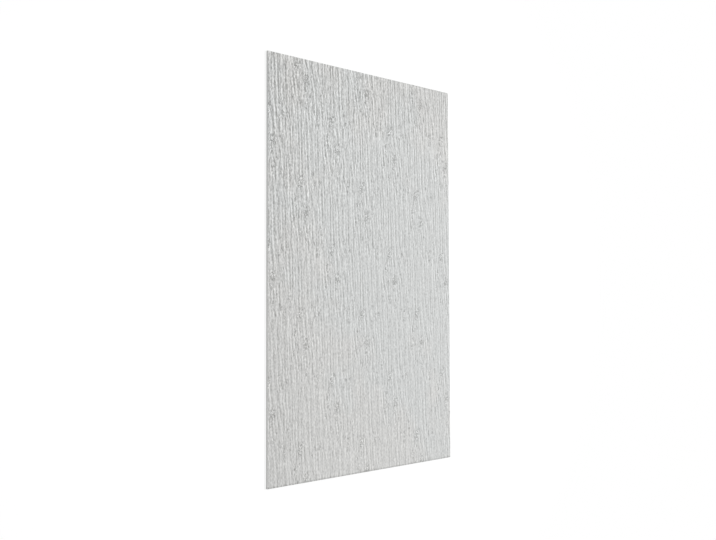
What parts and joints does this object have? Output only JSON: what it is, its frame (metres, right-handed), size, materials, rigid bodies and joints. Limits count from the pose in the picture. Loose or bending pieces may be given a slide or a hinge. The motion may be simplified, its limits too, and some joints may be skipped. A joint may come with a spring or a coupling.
{
  "type": "textured twin-wall polycarbonate sheet",
  "caption": "Flat, stiff, light cladding sheet: hollow flutes run its whole length between its skins, open at the cut ends, and its outer face has a wood-grain relief.",
  "frame": {"origin": "middle of the underside of the plain back skin, on which the sheet lies", "axes": "+X across the flutes, +Y along the flutes towards the top end, +Z out of the grained face"},
  "size_m": [1.25, 2, 0.01],
  "materials": {
    "polycarbonate": "opaque pale grey, satin, with a wood-grain relief along the length of the outer face and plain skins elsewhere"
  },
  "bodies": {
    "root": {"twin_wall_sheet": "polycarbonate"}
  },
  "joints": []
}
